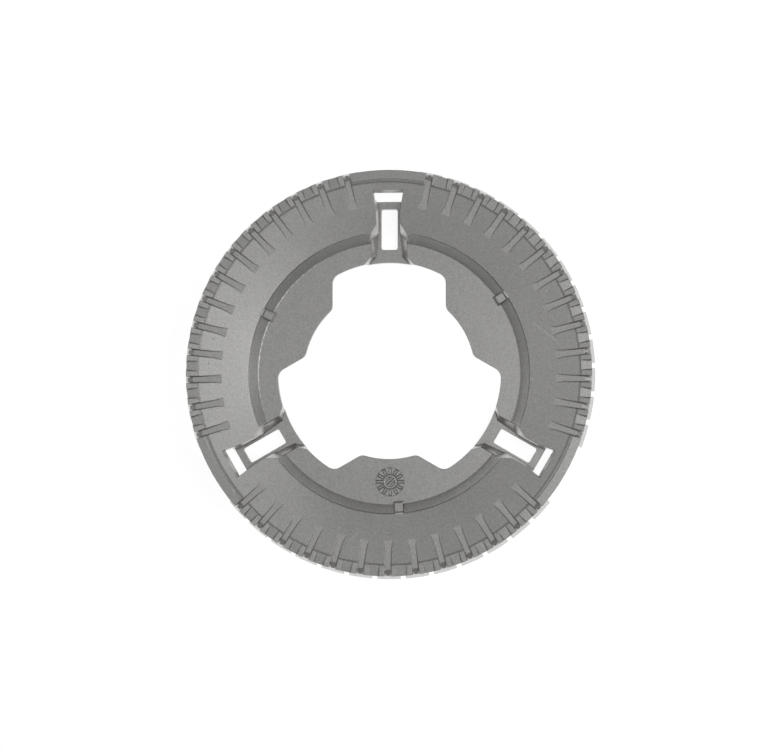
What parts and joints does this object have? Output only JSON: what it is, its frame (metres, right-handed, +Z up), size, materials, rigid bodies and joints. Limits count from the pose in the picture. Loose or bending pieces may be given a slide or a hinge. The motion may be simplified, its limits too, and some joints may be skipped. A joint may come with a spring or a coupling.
{
  "type": "gas burner head",
  "caption": "Flat die-cast ring burner head: a dished ring with flame ports round its rim, a lobed centre hole and slotted arm channels, for the outer flame ring of a gas hob burner.",
  "frame": {"origin": "on the head's axis, at the level of the arms' undersides that it rests on", "axes": "+Z up along the head's axis, toward the flame side; +Y along one arm; +X to the right of it seen from above"},
  "size_m": [0.1348, 0.134, 0.012],
  "materials": {
    "cast_aluminium": "satin, bead-blasted casting"
  },
  "bodies": {
    "root": {"burner_head": "cast_aluminium"}
  },
  "joints": []
}
